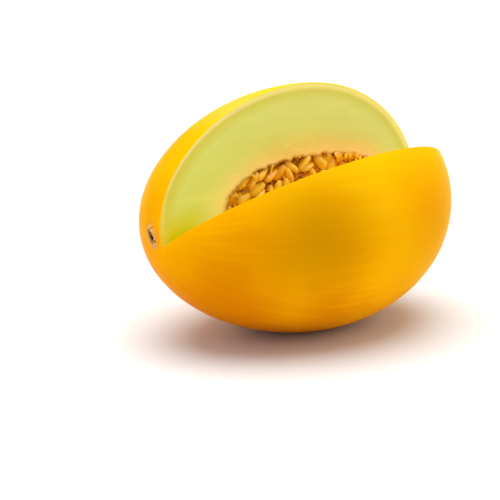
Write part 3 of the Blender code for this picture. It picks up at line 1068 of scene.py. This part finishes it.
# Unevenness from -1 to 1, with lumps of this size. The shift makes it another one.
def uneven(y, z, size, shift):
    return noise.noise(Vector((y, z, shift * size)) / size)


# How far out a point of a scar lies, as a share of its ragged oval
def scarShare(scar, y, z):
    ragged = 1 + scar["ragged"] * uneven(y, z, scar["lump"], scar["end"])
    return math.hypot((y - scar["lean"] * z) / scar["width"], z / scar["height"]) * ragged


# How deep a crack is at a point: deepest along its line, and nothing past its width
def crackDepth(y, z, start, end, width, depth):
    point = Vector((y, z)) - Vector(start)
    line = Vector(end) - Vector(start)
    along = max(0.0, min(1.0, point.dot(line) / line.length_squared))
    return depth * max(0.0, 1 - (point - along * line).length / width)


# A scar on one end of the fruit: a corky ring round a shallow hollow, which cracked as it dried
def scarHeight(scar, y, z):
    share = scarShare(scar, y, z)
    lumps = 1 + scar["lumpy"] * uneven(y, z, scar["lump"], 0.7)
    ring = scar["ringHeight"] * math.exp(-((share - scar["ringShare"]) / scar["ringWidth"]) ** 2) * lumps
    hollow = scar["basinDepth"] * max(0.0, 1 - share / scar["ringShare"])
    acrossCrevice = max(0.0, 1 - abs(uneven(y, z, scar["crevice"], 0.3)) / scar["creviceWidth"])
    crevice = scar["creviceDepth"] * acrossCrevice * max(0.0, 1 - (share / scar["creviceReach"]) ** 3)
    crack = max([crackDepth(y, z, *line) for line in scar["cracks"]], default=0.0)
    rough = scar["roughness"] * noise.fractal(Vector((y, z, 0.0)) / scar["grain"], 1.0, 2.0, 4)
    inside = max(0.0, min(1.0, (scar["roughReach"] - share) / scar["roughFade"]))
    return scar["edge"] + ring - hollow - crevice - crack + rough * inside


# Rings of points from the middle outwards, and a flat back deep in the flesh that closes the piece
def growScar(name, scar, material):
    rings, sides, end = scar["rings"], scar["sides"], scar["end"]
    middleY, middleZ = scar["middle"]
    points, heights, shares = [], [], []

    def addPoint(y, z, height, share, backX=None):
        skinX = endOfRind(math.hypot(middleY + y, middleZ + z), end)
        x = skinX + end * height if backX is None else backX
        points.append((x, middleY + y, axisHeight + middleZ + z))
        heights.append(height)
        shares.append(share)

    turns = [2 * math.pi * side / sides for side in range(sides)]
    for ring in range(1, rings + 1):
        offMiddle = scar["radius"] * ring / rings
        for turn in turns:
            y, z = offMiddle * math.cos(turn), offMiddle * math.sin(turn)
            addPoint(y, z, scarHeight(scar, y, z) if ring < rings else -scar["tuck"], scarShare(scar, y, z))
    backRadius = scar["backShare"] * scar["radius"]
    backX = end * (fruit["halfLength"] - scar["thickness"])
    for turn in turns:
        addPoint(backRadius * math.cos(turn), backRadius * math.sin(turn), 0.0, 2.0, backX)
    addPoint(0.0, 0.0, scarHeight(scar, 0.0, 0.0), 0.0)

    faces = []
    for first in range(0, rings * sides, sides):
        for side in range(sides):
            here, after = first + side, first + (side + 1) % sides
            faces.append((here, here + sides, after + sides, after))
    faces.append(tuple(range(rings * sides, (rings + 1) * sides)))
    faces += [(len(points) - 1, side, (side + 1) % sides) for side in range(sides)]
    if end < 0:
        faces = [face[::-1] for face in faces]
    mesh = bpy.data.meshes.new(name)
    mesh.from_pydata(points, [], faces)
    mesh.attributes.new("height", "FLOAT", "POINT").data.foreach_set("value", heights)
    mesh.attributes.new("outwards", "FLOAT", "POINT").data.foreach_set("value", shares)
    mesh.shade_smooth()
    mesh.materials.append(material)
    print(name, len(mesh.polygons), "faces")
    return addObject(name, mesh)


corkLook = dict(
    tones=((0.26, "#2a1002"), (0.42, "#86580e"), (0.60, "#c89c40"), (0.92, "#dcb868")),   # cracks to ridges, darker the deeper: partly painted shade
    heights=(-0.0014, 0.0009),
    relief=0.8,           # how much of its tone comes from its height, partly painted shade in the cracks, and how much from its speckle
    speckling=0.4,
    bloom="#d8a068",      # a pinkish tan where the cork thins out, in shares of the oval
    bloomFade=(0.55, 0.95),
    bloomStrength=0.75,
    skin="#f29c04",
    skinFade=(1.12, 1.30),
    raggedness=0.5,
    grain=0.0009,         # from one speckle to the next
    bump={"Strength": 0.7, "Distance": 0.0002},
    gloss={"Roughness": 0.75, "Specular IOR Level": 0.1},
)


# Scar cork: dry and rough, tan on its ridges, nearly black in its cracks, and it fades into the rind. The
# black of the cracks is partly its own dark tissue and partly painted shade.
def makeCorkMaterial():
    look = corkLook
    material, add, height, outwards = newMaterial("dry scar cork", "height", "outwards")
    place = add("ShaderNodeTexCoord").outputs["Object"]
    speckle = add(noiseNode, place, 1 / look["grain"], 3.0)
    raised = add(rangeNode, height, *look["heights"], 0.0, look["relief"])
    shade = add(mathNode, speckle, look["speckling"], raised, **timesPlus)
    tone = fillRamp(add(rampNode, shade), look["tones"])
    thinning = add(rangeNode, outwards, *look["bloomFade"], 0.0, look["bloomStrength"])
    ragged = add(mathNode, speckle, look["raggedness"], outwards, **timesPlus)
    toSkin = add(rangeNode, ragged, *look["skinFade"])
    colour = addLayers(add, tone, ((thinning, look["bloom"]), (toSkin, look["skin"])))
    bump = add("ShaderNodeBump", look["bump"] | {"Height": speckle})
    return fillShader(material, look["gloss"] | {"Base Color": colour, "Normal": bump})


corkMaterial = makeCorkMaterial()
stemScarPiece = growScar("stem_scar", stemScar, corkMaterial)
blossomScarPiece = growScar("blossom_scar", blossomScar, corkMaterial)

for piece in (rind, flesh, stemScarPiece, blossomScarPiece):
    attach(piece, "root")
    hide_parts("fruit")
for piece in (pulp, seedPiece, edgeStrands, pulpStrands):
    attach(piece, "root")
    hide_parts("seed_mass")

# The view: where the camera stands from the melon's middle, and how far off it looks to the side
view = dict(
    azimuth=math.radians(-34.84),
    elevation=math.radians(15.84),
    distance=0.96065,
    right=0.02774,
    up=0.02473,
    sensor=36,
    focal=3.2,           # in picture widths
)


def addCamera():
    azimuth, elevation = view["azimuth"], view["elevation"]
    back = Vector((math.sin(azimuth) * math.cos(elevation), -math.cos(azimuth) * math.cos(elevation),
                   math.sin(elevation)))
    right = Vector((math.cos(azimuth), math.sin(azimuth), 0.0))
    up = back.cross(right)
    data = bpy.data.cameras.new("camera")
    data.sensor_width = view["sensor"]
    data.lens = view["focal"] * view["sensor"]
    camera = addObject("camera", data)
    spot = back * view["distance"] - right * view["right"] - up * view["up"] + Vector((0, 0, axisHeight))
    camera.matrix_world = Matrix.Translation(spot) @ Matrix((right, up, back)).transposed().to_4x4()
    bpy.context.scene.camera = camera


studio = dict(
    floorSize=60,
    floorColour="#e2e2e2",
    skyColour=(1, 1, 1, 1),
    skyStrength=0.36,
    softboxSpread=math.radians(60),
    # Each softbox's strength, and how it is turned from straight overhead
    softboxes={
        "overhead softbox": (3.5, (math.radians(-4), 0.0, 0.0)),
        "left softbox": (0.7, (0.0, math.radians(-65), view["azimuth"])),
        "right softbox": (0.7, (0.0, math.radians(65), view["azimuth"])),
    },
)


# Floor: matt white paper, which takes a soft shadow and shows no sheen
def addFloor():
    bpy.ops.mesh.primitive_plane_add(size=studio["floorSize"])
    floor = bpy.context.object
    floor.name = "floor"
    material = newMaterial("matt white paper floor")[0]
    floor.data.materials.append(fillShader(material, {
        "Base Color": studio["floorColour"], "Roughness": 0.95, "Specular IOR Level": 0.0}))


# Huge softboxes far off, so that the floor is as bright far away as near, and a white studio round them
def addLights():
    for name, (strength, turn) in studio["softboxes"].items():
        data = bpy.data.lights.new(name, "SUN")
        data.energy = strength
        data.angle = studio["softboxSpread"]
        addObject(name, data).rotation_euler = turn
    world = bpy.data.worlds.new("white studio")
    world.use_nodes = True
    fillInputs(world.node_tree, world.node_tree.nodes["Background"],
               {"Color": studio["skyColour"], "Strength": studio["skyStrength"]})
    bpy.context.scene.world = world
    bpy.context.scene.view_settings.view_transform = "Standard"


addCamera()
addFloor()
addLights()
print("stage set")
